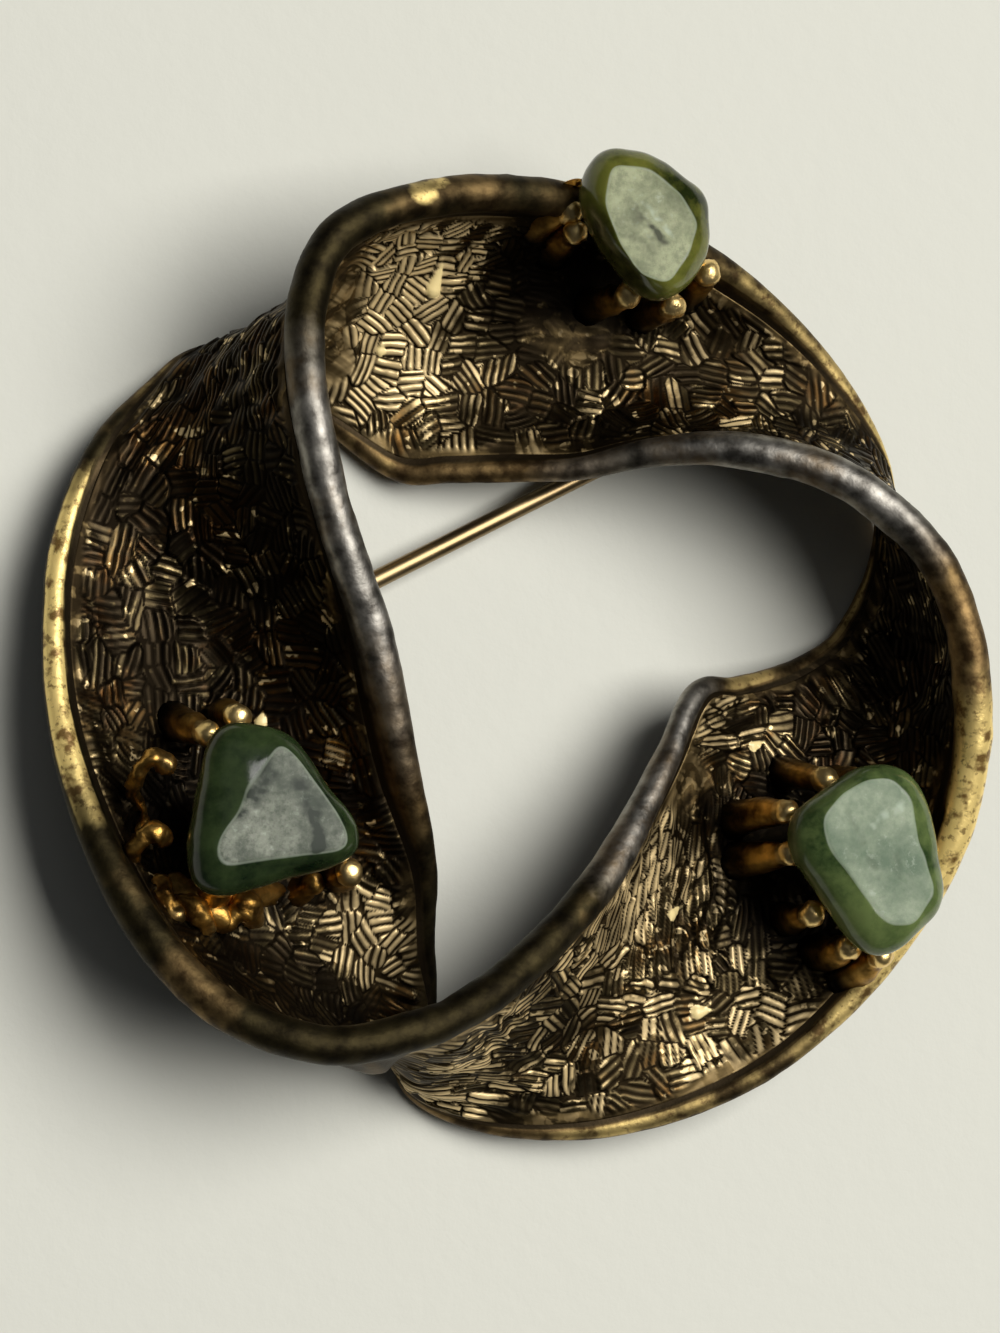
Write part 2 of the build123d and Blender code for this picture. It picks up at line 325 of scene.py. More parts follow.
# How brightly the gilding is left on the hatching, by place.
GILDING = [Spot(*row) for row in [
    (-6.1, 19.2, 2.2, 1.35), (-5.7, 16.0, 2.0, 1.3), (-8.3, 14.0, 2.0, 0.95), (-9.5, 17.5, 1.8, 0.55),
    (-10.8, 20.8, 2.0, 0.30), (-5.2, 12.3, 2.0, 0.60), (-3.9, 21.4, 1.6, 0.75), (-2.5, 17.3, 2.2, 0.80),
    (-2.7, 13.6, 2.2, 0.45), (1.0, 18.5, 3.2, 0.05), (0.9, 12.9, 2.5, 0.35), (5.2, 16.5, 4.0, 0.32),
    (9.0, 15.0, 3.8, 0.30), (12.5, 18.3, 2.6, 0.60), (16.5, 15.0, 3.5, 0.28), (-18.5, 5.0, 8.0, 0.03),
    (-17.0, 14.0, 4.0, 0.15), (-22.6, -5.0, 2.2, 0.45), (-20.2, -13.0, 3.0, 0.0),
    (-8.0, -6.5, 4.0, 0.10), (-11.6, -13.8, 1.5, 0.35), (-10.2, -16.6, 2.0, 0.06),
    (-7.6, -14.6, 1.9, 1.20), (-6.0, -11.6, 1.6, 0.04), (-14.5, -17.0, 3.0, 0.22),
    (10.3, -4.0, 2.0, 0.65), (14.5, -4.2, 1.8, 0.35), (20.5, -1.0, 4.5, 0.14), (6.0, -9.0, 2.2, 1.15),
    (5.3, -12.5, 2.2, 1.15), (10.8, -10.9, 1.8, 0.55), (12.5, -7.5, 2.2, 0.10), (1.0, -17.0, 3.0, 0.50),
    (-3.4, -21.4, 2.2, 0.75), (4.0, -20.8, 2.5, 0.48), (6.2, -17.6, 2.2, 0.60),
    (10.0, -17.0, 2.6, 0.48), (14.0, -20.0, 2.2, 0.70), (15.5, -15.5, 2.8, 0.28),
]]


def away_from(spot, p):
    """How far p lies from a spot in plan, as a share of the spot's reach."""
    return np.hypot(p[..., 0] - spot.x, p[..., 1] - spot.y) / spot.reach


def along_and_across(spot, p):
    """How far p lies from a spot in plan, along the spot's turn and across it."""
    a = math.radians(spot.turn)
    x = p[..., 0] - spot.x
    y = p[..., 1] - spot.y
    return x * math.cos(a) + y * math.sin(a), -x * math.sin(a) + y * math.cos(a)


def gilding_at(p):
    """The share of gilding at p, the spots' shares weighed by how near they lie."""
    weight = np.full(p.shape[:-1], plain_weight)
    total = weight * plain_gilding
    for spot in GILDING:
        w = np.exp(-(away_from(spot, p) ** 2))
        weight = weight + w
        total = total + w * spot.share
    return total / weight


# What each stretch of the rolled edge shows, lap by lap and row by row as EDGE_ROWS runs: shares of
# gold left on it, of grey steel with painted sheen and of warm brown; the rest is dark olive. Besides
# tarnish and wear the shares carry painted light: more gold and steel where the edge is lit, more dark
# olive where it lies in shade.
EDGE_TONES = [
    [(0, 0.45, 0.1), (0, 0.15, 0.15), (0, 0.15, 0.2), (0, 0, 0.32), (0.15, 0, 0.35),
     (0.3, 0, 0.5), (0.32, 0, 0.4), (0.4, 0, 0.6), (0.7, 0, 0.5)],
    [(0.7, 0, 0.8), (0.42, 0, 0.7), (0.25, 0, 0.5), (0.35, 0.1, 0.5), (0.2, 0.6, 0.4),
     (0.1, 1, 0.1), (0, 1, 0.1), (0, 0.35, 0.3), (0, 0, 0.1)],
    [(0, 0, 0), (0, 0, 0.05), (0, 0, 0), (0.1, 0, 0.4), (0.15, 0, 0.2),
     (1, 0, 0.2), (0.9, 0, 0.1), (0.38, 0, 0.4), (0.2, 0, 0.35)],
    [(0.3, 0, 0.5), (0.3, 0, 0.5), (0.15, 0, 0.55), (0.05, 0, 0.5), (0.1, 0.2, 0.65),
     (0.05, 0.45, 0.6), (0, 0.5, 0.3), (0, 0.9, 0.3), (0, 1, 0)],
    [(0, 0.45, 0.45), (0.1, 0.15, 0.8), (0.4, 0, 1), (0.9, 0, 0.7), (1, 0, 0.2),
     (0.5, 0, 0.4), (0.30, 0, 0.45), (0.32, 0, 0.4), (0.2, 0, 0.6)],
    [(0.3, 0, 0.5), (0.05, 0, 0.2), (0.05, 0, 0.2), (0, 0, 0.3), (0, 0.3, 0.5),
     (0, 0.5, 0.45), (0, 0.75, 0.2), (0, 0.9, 0.1), (0, 1, 0)],
]
TONE_ROWS = np.array([tone for lap in EDGE_TONES for tone in lap], float)

# Small spots on the rolled edge where the gold is bare.
EDGE_SPOTS = [Spot(-7.0, 23.1, 1.0, 0.42), Spot(-6.2, 23.8, 0.7, 0.50)]


def stone_centre(stone):
    return on_ring(stone.turn, stone.reach, stone.seat_rise)


def painted_shade_at(p):
    """Painted shade: how dark the recess round each crown is painted."""
    painted_shade = np.zeros(p.shape[:-1])
    for stone in STONES:
        x, y, _ = stone_centre(stone)
        away = np.hypot(p[..., 0] - x, p[..., 1] - y) / (painted_shade_reach * stone.length)
        painted_shade = np.maximum(painted_shade, 1 - smoothstep(0.70, 1.22, away))
    return painted_shade


def wrinkle_height(p):
    """Long rounded folds, in mm, where the ribbon is folded."""
    height = np.zeros(p.shape[:-1])
    for k, w in enumerate(WRINKLES):
        along, across = along_and_across(w, p)
        away = np.sqrt(across**2 + (along / wrinkle_stretch) ** 2) / w.reach
        bend = lumps(np.stack([along * 0.25, across * 0.35, np.full_like(across, k * 9.7)], -1))
        fold = np.sin((across + bend * 0.9) * 2 * math.pi / wrinkle_pitch)
        height = height + (1 - smoothstep(0.45, 1.1, away)) * fold * wrinkle_depth
    return height


def wall_net(u, points):
    """Rows of points over one side of the wall between its two beads, with the cast's soft swells."""
    width = np.linalg.norm(edge(u + HALF_LOOP) - edge(u), axis=-1)
    start = np.sqrt(bead_radius(u) ** 2 - wall**2 / 4) / width
    end = 1 - np.sqrt(bead_radius(u + HALF_LOOP) ** 2 - wall**2 / 4) / width
    s = np.linspace(0, 1, points)
    t = start[:, None] + (end - start)[:, None] * s[None, :]
    base, n = skin(np.repeat(u[:, None], points, axis=1), t)
    fade = smoothstep(0.0, 0.09, s) * (1 - smoothstep(0.91, 1.0, s))
    swell = lumps(base * 0.45) * 0.10 + lumps(base * 1.3 + 40) * 0.05
    folds = wrinkle_height(base) * smoothstep(-0.3, 0.4, n[..., 2])
    lift = (swell + folds - wall_drop) * fade[None, :]
    return base + n * lift[..., None], n, folds, swell, t, width


def ribbon_side(u):
    """Rows of points over one side: the wall from edge to edge, then round the far bead."""
    wall_rows, n, folds, swell, t, _ = wall_net(u, WALL_POINTS)
    far = u + HALF_LOOP
    radius = bead_radius(far)
    along = unit(edge(far + STEP) - edge(far - STEP))
    inward = middle(u, np.full_like(u, 0.92)) - edge(far)
    inward = unit(inward - along * np.sum(inward * along, -1, keepdims=True))
    upward = np.cross(along, inward)
    upward = upward * np.sign(np.sum(upward * n[:, -1], -1, keepdims=True))
    first = np.arcsin(wall / 2 / radius)
    step = (2 * math.pi - 2 * first) / (BEAD_POINTS + 1)
    a = first[:, None] + step[:, None] * (np.arange(BEAD_POINTS)[None, :] + 1)
    ray = inward[:, None, :] * np.cos(a)[..., None] + upward[:, None, :] * np.sin(a)[..., None]
    around = edge(far)[:, None, :] + ray * radius[:, None, None]
    high = smoothstep(0.60, 0.90, edge_rise(far))[:, None]
    dent = lumps(around * 0.5 + 80) * 0.07 + lumps(around * 1.5 + 7) * 0.045
    bead_rows = around + ray * (dent * (0.5 + 0.5 * high))[..., None]
    outward = -np.cos(a)
    # Gold is kept to the upper, outer side of each bead: the worn lip, with the darker tones under it as
    # painted shade. On the high beads it reaches further round.
    gold_lip_and_shade = smoothstep(0.10, 0.55, ray[..., 2]) * smoothstep(-0.45, -0.05, outward)
    gold_lip_and_shade = gold_lip_and_shade + (1 - gold_lip_and_shade) * high * (0.15 + 0.85 * smoothstep(-0.70, 0.0, outward))
    tones = np.clip(curve(TONE_ROWS, far), 0, 1)[:, None, :]
    gold = tones[..., 0] * gold_lip_and_shade
    for spot in EDGE_SPOTS:
        gold = np.maximum(gold, spot.share * (1 - smoothstep(0.6, 1.1, away_from(spot, around))))

    def whole(on_bead, on_wall=0.0):
        return np.concatenate([on_wall + np.zeros_like(t), on_bead + np.zeros_like(a)], 1)

    return np.concatenate([wall_rows, bead_rows], 1), {
        "relief": whole(0.5, 0.22 + folds * 2.6 + swell * 1.5),
        "bead": whole(1.0),
        "gold": whole(gold),
        "steel_and_sheen": whole(tones[..., 1]),
        "warm": whole(tones[..., 2]),
        "upper": whole(0.0, smoothstep(-0.2, 0.3, n[..., 2])),
    }


def ribbon():
    """The ribbon as one closed mesh, in which each side's bead runs on into the other side's wall."""
    per_lap = HALF_LOOP * STATIONS
    points, values = ribbon_side(np.arange(2 * per_lap) / STATIONS)
    columns = points.shape[1]
    i = np.arange(2 * per_lap)[:, None]
    j = np.arange(columns)[None, :]
    following = (i + 1) % (2 * per_lap)

    def across(row):
        other_side = (row + per_lap) % (2 * per_lap) * columns
        return np.where(j + 1 < columns, row * columns + j + 1, other_side)

    faces = np.stack([following * columns + j, across(following), across(i), i * columns + j], -1)
    values["gilt"] = gilding_at(points)
    # The recess round each crown gets painted shade, on the upward-facing side of the wall.
    values["painted_shade"] = painted_shade_at(points) * values.pop("upper")
    return add_mesh("ring_ribbon", points.reshape(-1, 3), faces.reshape(-1, 4), values)


# The hatched skin, sizes in mm. It is cut into patches, each with its own run of ridges and grooves.
patch_spacing = 1.3
groove_pitch = 0.43
groove_depth = 0.15
gap_depth = 0.07
skin_seat = 0.30
skin_top = 0.42
drop_bulge = 0.7
# How square a ridge is across, and how wide the border between two patches is.
ridge_power = 2.2
patch_border = 0.17
# Over how many rows of points a skin fades out at its ends, and over how many columns at its sides.
fade_rows = 50
fade_columns = 7
# How far each skin runs on past its panel, in rows.
skin_overlap = 0.9
SKIN_ROWS = 585
SKIN_COLUMNS = 161
# The skin's underside has one quad for COARSE rows and columns of its upper side.
COARSE = 8
PATCH_TRIES = 30000
NEIGHBOURS = 12
NEIGHBOUR_BLOCK = 4
LUCK_PLACES = 4096
UPWARD_LAPS = {"hatching_right": 1, "hatching_top": 3, "hatching_left": 5}

# Places where the wall is smooth, with faint streaks and a small share of the hatching.
CALM = [Spot(*row, 0.12) for row in [
    (-10.6, 18.6, 2.6), (-9.4, 15.6, 1.5), (9.6, -6.4, 2.0), (15.0, -10.0, 3.0), (4.0, 18.8, 3.0),
]]

# Smooth drops of metal on the hatching: x, y, radius, and the turn and length of the drop's tail.
Drop = namedtuple("Drop", "x y radius turn tail")
DROPS = [Drop(*row) for row in [
    (-4.2, 19.5, 0.46, 82, 1.3), (-6.6, 16.3, 0.30, 95, 0.5), (-13.6, -3.8, 0.34, 80, 0.6),
    (14.3, -4.3, 0.30, 25, 0.8), (9.2, -13.4, 0.38, 35, 0.8), (10.9, -18.6, 0.38, 10, 0.9),
]]

# Places where the ridges are worn down to a share of their height.
WORN = [Spot(*row) for row in [
    (1.0, 18.5, 3.4, 0.25), (5.5, 17.2, 3.0, 0.45), (-0.5, 14.5, 2.4, 0.55), (12.0, 16.5, 3.2, 0.55),
    (-14.5, -17.0, 3.0, 0.35), (-19.5, -1.0, 3.0, 0.6), (20.5, 0.5, 3.5, 0.6), (2.0, -19.0, 2.6, 0.55),
    (13.0, -18.5, 2.4, 0.6), (17.0, 15.0, 2.8, 0.45),
]]


def scatter(rng):
    """Patch centres thrown over the skin wherever it faces upwards enough to be seen."""
    u = rng.uniform(0, LOOP, PATCH_TRIES)
    t = rng.uniform(0.05, 0.95, PATCH_TRIES)
    p, n = skin(u, t)
    keep = n[:, 2] > -0.45
    p, n = p[keep], n[keep]
    gap = patch_spacing * rng.uniform(0.72, 1.12, len(p))
    chosen = []
    cells = {}
    for k, (x, y, z) in enumerate(np.floor(p / patch_spacing).astype(int).tolist()):
        near = [
            other
            for dx, dy, dz in product((-1, 0, 1), repeat=3)
            for other in cells.get((x + dx, y + dy, z + dz), ())
        ]
        if near:
            away = np.linalg.norm(p[near] - p[k], axis=1)
            if np.any((away < gap[k]) & (n[near] @ n[k] > 0.2)):
                continue
        cells.setdefault((x, y, z), []).append(k)
        chosen.append(k)
    return p[chosen], n[chosen]


def patches():
    """The table of patches: a frame on the wall, the run of its ridges and how it is tilted."""
    rng = np.random.default_rng(5)
    p, n = scatter(rng)
    count = len(p)
    turn = rng.choice([0.0, 90.0, 45.0, -45.0], count, p=[0.34, 0.34, 0.17, 0.15])
    turn = np.radians(turn + rng.normal(0, 10, count))
    stretch = rng.uniform(1.0, 1.5, count)
    long_run = np.zeros(count)
    for w in WRINKLES:
        near = np.hypot(p[:, 0] - w.x, p[:, 1] - w.y) < w.reach * rng.uniform(0.75, 1.1, count)
        turn = np.where(near, np.radians(w.turn) + rng.normal(0, 0.09, count), turn)
        stretch = np.where(near, w.stretch * rng.uniform(0.8, 1.1, count), stretch)
        long_run = np.where(near, 1.0, long_run)
    direction = np.stack([np.cos(turn), np.sin(turn), np.zeros(count)], -1)
    direction = unit(direction - n * np.sum(direction * n, -1, keepdims=True))
    tree = kdtree.KDTree(count)
    for k in range(count):
        tree.insert(p[k], k)
    tree.balance()
    return {
        "tree": tree,
        "place": p,
        "normal": n,
        "direction": direction,
        "side": np.cross(n, direction),
        "stretch": stretch,
        "pitch": groove_pitch * rng.uniform(0.82, 1.14, count) * (1 - 0.22 * long_run),
        "phase": rng.uniform(0, 1, count),
        "bow": rng.normal(0, 0.05, count),
        "level": rng.normal(0, 0.035, count),
        "tilt_along": rng.normal(0, 0.10, count),
        "tilt_across": rng.normal(0, 0.12, count),
        "deep": np.where(rng.uniform(0, 1, count) < 0.10, 0.25, rng.uniform(0.7, 1.15, count)),
        "bright": rng.uniform(0, 1, count),
        "table": rng.uniform(0, 1, LUCK_PLACES),
    }


def neighbours(points, tree):
    """The nearest patches of each point, looked up once for each block of points."""
    rows, columns = points.shape[:2]
    block = NEIGHBOUR_BLOCK
    found = [
        [
            [hit[1] for hit in tree.find_n(points[min(i, rows - 1), min(j, columns - 1)], NEIGHBOURS)]
            for j in range(1, columns + 1, block)
        ]
        for i in range(1, rows + 1, block)
    ]
    return np.array(found).repeat(block, 0).repeat(block, 1)[:rows, :columns]


def hatch(points, normals, table):
    """Height over the wall in mm, how far each point is a ridge's crest, and its brightness."""
    near = neighbours(points, table["tree"])
    away = points[:, :, None, :] - table["place"][near]
    a = np.sum(away * table["direction"][near], -1)
    b = np.sum(away * table["side"][near], -1)
    facing = np.sum(normals[:, :, None, :] * table["normal"][near], -1)
    long_a = a / table["stretch"][near]
    score = np.maximum(np.abs(long_a), np.abs(b)) + 0.35 * np.hypot(long_a, b) + 9 * (facing < 0.1)
    order = np.argsort(score, -1)

    def ranked(values, rank=0):
        return np.take_along_axis(values, order[..., rank:rank + 1], -1)[..., 0]

    lead = ranked(score, 1) - ranked(score)
    mine, a, b = ranked(near), ranked(a), ranked(b)
    waver = 0.055 * grain(points * 0.9) + 0.03 * grain(points * 2.3 + 9)
    x = (b + waver + table["bow"][mine] * a * a) / table["pitch"][mine] + table["phase"][mine]
    ridge = np.floor(x).astype(int)
    luck = table["table"][(mine * 131 + ridge * 17) % LUCK_PLACES]
    other_luck = table["table"][(mine * 57 + ridge * 91 + 5) % LUCK_PLACES]
    crest = 1 - np.abs(2 * (x - ridge) - 1) ** ridge_power
    end = smoothstep(0.0, patch_border, lead - 0.10 * (luck - 0.5) + 0.03)
    rough = grain(points * 1.9 + 60)
    crest = crest * end * (1 - 0.25 * np.clip(rough, 0, 1))
    tall = groove_depth * table["deep"][mine] * (0.65 + 0.6 * other_luck)
    plate = (
        table["level"][mine]
        + table["tilt_along"][mine] * np.clip(a, -1, 1)
        + table["tilt_across"][mine] * np.clip(b, -1, 1)
    )
    height = crest * tall + plate * (0.35 + 0.65 * end) - gap_depth * (1 - end) + 0.02 * rough
    bright = 0.55 * table["bright"][mine] + 0.45 * luck
    return height, crest, bright


def drop_height(points):
    """Height over the wall in mm of the drops of metal."""
    height = np.zeros(points.shape[:-1])
    for d in DROPS:
        along, across = along_and_across(d, points)
        radius = d.radius * (1 - 0.85 * np.clip(along / d.tail, 0, 1))
        beyond = np.where(along < 0, along, np.maximum(along - d.tail, 0))
        gone = np.hypot(beyond, across) / radius
        height = np.maximum(height, drop_bulge * radius * np.sqrt(np.clip(1 - gone**2, 0, 1)))
    return height


def ridges_left(points):
    """The share of the ridges' height that wear has left."""
    left = 0.45 + 0.55 * smoothstep(-0.45, 0.15, lumps(points * 0.42 + 71))
    for spot in WORN:
        away = smoothstep(0.4, 1.2, away_from(spot, points))
        left = left * (spot.share + (1 - spot.share) * away)
    return left


def skin_faces(rows, columns):
    """Closes the fine grid from below with a coarse one that shares the fine grid's border."""
    top = grid_faces(rows, columns)
    inner = {}
    number = rows * columns

    def corner(i, j):
        if i in (0, rows - 1) or j in (0, columns - 1):
            return i * columns + j
        if (i, j) not in inner:
            inner[(i, j)] = number + len(inner)
        return inner[(i, j)]

    quads, triangles = [], []
    for i in range(0, rows - 1, COARSE):
        for j in range(0, columns - 1, COARSE):
            loop = []
            steps = (
                (i, j, 0, 1, i == 0),
                (i, j + COARSE, 1, 0, j + COARSE == columns - 1),
                (i + COARSE, j + COARSE, 0, -1, i + COARSE == rows - 1),
                (i + COARSE, j, -1, 0, j == 0),
            )
            for si, sj, di, dj, on_border in steps:
                loop.append(corner(si, sj))
                if on_border:
                    loop.extend((si + di * k) * columns + sj + dj * k for k in range(1, COARSE))
            if len(loop) == 4:
                quads.append(loop)
                continue
            hub = next(k for k, v in enumerate(loop) if v >= number)
            loop = loop[hub:] + loop[:hub]
            triangles.extend([loop[0], loop[k], loop[k + 1]] for k in range(1, len(loop) - 1))
    faces = [np.concatenate([top[:, ::-1], np.array(quads)]), np.array(triangles)]
    return faces, np.array(list(inner), int).T


def hatched_skin(name, lap, table):
    """A panel's skin of ridges, smooth places and drops over the wall, closed from below."""
    first, last = lap * PANEL_ROWS - skin_overlap, (lap + 1) * PANEL_ROWS + skin_overlap
    u = np.linspace(first, last, SKIN_ROWS)
    base, normals, folds, _, t, width = wall_net(u, SKIN_COLUMNS)
    height, crest, bright = hatch(base, normals, table)
    left = ridges_left(base)
    height = height * (0.3 + 0.7 * left)
    crest = crest * (0.35 + 0.65 * left)
    near = t * width[:, None]
    far = (1 - t) * width[:, None]
    wander = 0.5 * lumps(base * 0.5 + 20) + 0.3 * grain(base * 1.1)
    rough = 1.0
    for from_edge, row in ((near, u), (far, u + HALF_LOOP)):
        tube = smoothstep(0.5, 0.8, edge_rise(row))[:, None]
        rough = rough * smoothstep(0.5 + 0.4 * tube, 1.0 + 0.7 * tube, from_edge + wander)
    for calm in CALM:
        away = smoothstep(0.6, 1.15, away_from(calm, base) + 0.25 * wander)
        rough = rough * (calm.share + (1 - calm.share) * away)
    streak = grain(np.stack([u[:, None] * 2.2 + 0 * t, near * 3.6, 0 * t + lap], -1))
    height = height * rough + (1 - rough) * (0.035 * streak - 0.01)
    drops = drop_height(base)
    height = np.clip(np.maximum(height, drops) + 0.05, 0.0, skin_top)
    i = np.arange(SKIN_ROWS)[:, None]
    j = np.arange(SKIN_COLUMNS)[None, :]
    border = np.minimum(i, SKIN_ROWS - 1 - i)
    fade = smoothstep(0, fade_rows, border + 9 * grain(base * 0.8)) * smoothstep(0, 9, border)
    rough = rough * fade
    crest = crest * fade
    fade = fade * smoothstep(0, fade_columns, np.minimum(j, SKIN_COLUMNS - 1 - j))
    height = height * fade - skin_seat * (1 - smoothstep(0.0, 0.12, fade))
    points = base + normals * height[..., None]
    faces, (i, j) = skin_faces(SKIN_ROWS, SKIN_COLUMNS)
    below = base[i, j] - normals[i, j] * skin_seat
    dropped = smoothstep(0.02, 0.12, drops)
    relief = np.maximum(crest * rough + (0.45 + 0.3 * streak + folds) * (1 - rough), dropped)
    attributes = {
        "relief": np.clip(relief, 0, 1),
        "worn": np.maximum(bright, dropped),
        "calm": 1 - rough,
        "gilt": np.maximum(gilding_at(base), dropped),
        # Painted shade round the crowns, kept off the drops.
        "painted_shade": painted_shade_at(base) * (1 - dropped),
        "drop": dropped,
    }
    for key, grid in attributes.items():
        attributes[key] = np.concatenate([grid.ravel(), np.zeros(len(below))])
    return add_mesh(name, np.concatenate([points.reshape(-1, 3), below]), faces, attributes)


# Claws, sizes in mm
claw_splay = 0.5
claw_height = 4.0
claw_ball_radius = 0.7
claw_neck = 0.25
claw_lumps = 0.125
strand_lumps = 0.20
root_cover = 0.25
CLAW_SIDES = 18
STRAND_STEPS = 6
# How many points the net over the wall's middle has per row of the table and across the wall.
NET_STATIONS = 4
NET_COLUMNS = 20
# Share of the claw's length and its radius in mm, from the root in the wall up to the ball.
CLAW_BODY = [
    (0.00, 1.30), (0.10, 1.08), (0.22, 0.96), (0.40, 0.90), (0.58, 0.85), (0.72, 0.80), (0.82, 0.72),
    (0.89, 0.63),
]
# The angles over a ball's middle at which its rings lie, from its neck to its top.
BALL_RINGS = np.radians([-26, -12, 2, 18, 35, 52, 68, 80, 88])
STRAND_END_RINGS = np.radians([30, 58, 80])


def floor_net():
    """Points all over the middle of the wall, and the normal of its upper side at each."""
    u = np.arange(HALF_LOOP * NET_STATIONS) / NET_STATIONS
    t = np.arange(1, NET_COLUMNS) / NET_COLUMNS
    uu, tt = np.meshgrid(u, t, indexing="ij")
    normals = wall_normal(uu, tt).reshape(-1, 3)
    return middle(uu, tt).reshape(-1, 3), normals * np.where(normals[:, 2:] < 0, -1, 1)


FLOOR_NET, FLOOR_NORMALS = floor_net()


def closed_bar(rings, *values):
    """A bar's points, faces and values from its rings, with a fan of quads over each end."""
    rows, sides = rings.shape[:2]
    points = np.concatenate([rings.reshape(-1, 3), [rings[0].mean(0), rings[-1].mean(0)]])
    hub = rows * sides
    last = hub - sides
    fans = []
    for k in range(0, sides, 2):
        beyond = (k + 2) % sides
        fans.append([hub, beyond, k + 1, k])
        fans.append([hub + 1, last + k, last + k + 1, last + beyond])
    faces = np.concatenate([grid_faces(rows, sides, wrap=True), fans])
    return points, faces, *[np.concatenate([v.ravel(), [v[0, 0], v[-1, 0]]]) for v in values]


def sweep(centres, radii, relief, rng, rough):
    """A closed round bar through centres, with lumps, and its relief at each point."""
    centres = np.asarray(centres, float)
    along = unit(np.gradient(centres, axis=0))
    e1 = unit(np.cross(along, (0.31, 0.95, 0.05)))
    e2 = np.cross(along, e1)
    a = np.linspace(0, 2 * math.pi, CLAW_SIDES, endpoint=False)
    ray = e1[:, None, :] * np.cos(a)[None, :, None] + e2[:, None, :] * np.sin(a)[None, :, None]
    rings = centres[:, None, :] + ray * np.asarray(radii)[:, None, None]
    shift = rng.uniform(0, 50)
    lump = lumps(rings * 1.7 + shift) + 0.5 * grain(rings * 4 + shift)
    rings = rings + ray * (rough * lump)[..., None]
    return closed_bar(rings, np.repeat(np.asarray(relief)[:, None], CLAW_SIDES, axis=1))


def claw_mesh(stone, turn, reach, bend, thick, rng):
    """A claw from the wall up to the ball at its tip, under the stone's rim."""
    a = math.radians(turn)
    out = np.array([math.cos(a), math.sin(a), 0.0])
    tip = stone_centre(stone) + out * reach * stone.length
    tip[2] -= claw_ball_radius + stone_seat_gap
    aim = tip + out * claw_splay - np.array([0, 0, claw_height])
    root = FLOOR_NET[np.argmin(np.sum((FLOOR_NET - aim) ** 2, -1))]
    length = np.linalg.norm(tip - root)
    axis = (tip - root) / length
    lean = unit(np.cross(axis, np.cross(out, axis)))
    rings = []
    for share, radius in CLAW_BODY:
        centre = root + axis * share * (length - claw_neck) + lean * bend * math.sin(share * math.pi)
        # Relief rises from the root to the ball: the low end is painted black as the shade of the
        # recess, the ball takes the bright gold.
        rings.append((centre, radius * thick, 0.15 + 0.55 * share))
    for angle in BALL_RINGS:
        centre = tip + axis * claw_ball_radius * math.sin(angle)
        rings.append((centre, claw_ball_radius * math.cos(angle), 1.0))
    return sweep(*zip(*rings), rng, claw_lumps)


def kept_in_wall(points):
    """Lifts a root's points that would come out under the wall back into it."""
    away = points[:, None, :] - FLOOR_NET[None, :, :]
    nearest = np.argmin(np.sum(away**2, -1), 1)
    normal = FLOOR_NORMALS[nearest]
    height = np.sum((points - FLOOR_NET[nearest]) * normal, -1)
    lift = np.maximum(root_cover - wall / 2 - height, 0)
    return points + normal * lift[:, None]


# Claws that are bent: stone, the claw's place in its table, bend in mm and thickness.
BENT = {("stone_top", 3): (0.5, 0.9), ("stone_top", 4): (0.35, 0.9), ("stone_right", 9): (0.4, 0.95)}
# The slight bend that every other claw has, in mm.
plain_bend = 0.12

# Claws of the left stone that the branches and coral-like lumps below stand in for.
BRANCHED = {("stone_left", 4), ("stone_left", 5), ("stone_left", 6), ("stone_left", 8)}

# The branches and lumps: each strand's x, y, z and radius in mm, from the wall on.
STRANDS = [
    [(-20.2, -8.3, 4.8, 0.46), (-20.8, -7.5, 6.8, 0.44), (-20.8, -6.7, 8.0, 0.46),
     (-20.2, -6.1, 8.5, 0.50), (-19.5, -6.3, 8.3, 0.60)],
    [(-20.6, -11.3, 5.9, 0.55), (-21.0, -10.8, 7.3, 0.50), (-20.7, -10.1, 8.1, 0.52),
     (-20.1, -9.8, 8.3, 0.62), (-19.7, -9.9, 8.2, 0.68)],
    [(-20.1, -7.8, 5.0, 0.26), (-20.1, -8.6, 6.1, 0.20), (-20.3, -9.6, 6.7, 0.26)],
    [(-19.9, -12.2, 5.9, 0.60), (-19.5, -12.4, 7.0, 0.62), (-19.1, -13.0, 7.2, 0.50),
     (-18.8, -13.7, 7.2, 0.66)],
    [(-18.8, -13.8, 6.2, 0.60), (-18.3, -13.1, 7.1, 0.48), (-17.7, -13.6, 7.2, 0.72),
     (-17.0, -14.3, 6.8, 0.50)],
    [(-17.0, -14.4, 5.5, 0.55), (-16.6, -13.5, 6.8, 0.66), (-16.0, -14.3, 6.5, 0.50),
     (-15.4, -13.6, 6.7, 0.55), (-14.9, -13.3, 6.8, 0.74), (-14.2, -13.8, 5.4, 0.60)],
    [(-19.2, -12.2, 6.0, 0.80), (-17.8, -12.6, 6.5, 0.66), (-16.4, -12.7, 6.2, 0.74),
     (-14.8, -12.6, 6.1, 0.62), (-13.2, -12.5, 4.6, 0.80)],
    [(-11.6, -12.6, 3.9, 0.80), (-11.0, -12.0, 5.2, 0.55)],
]


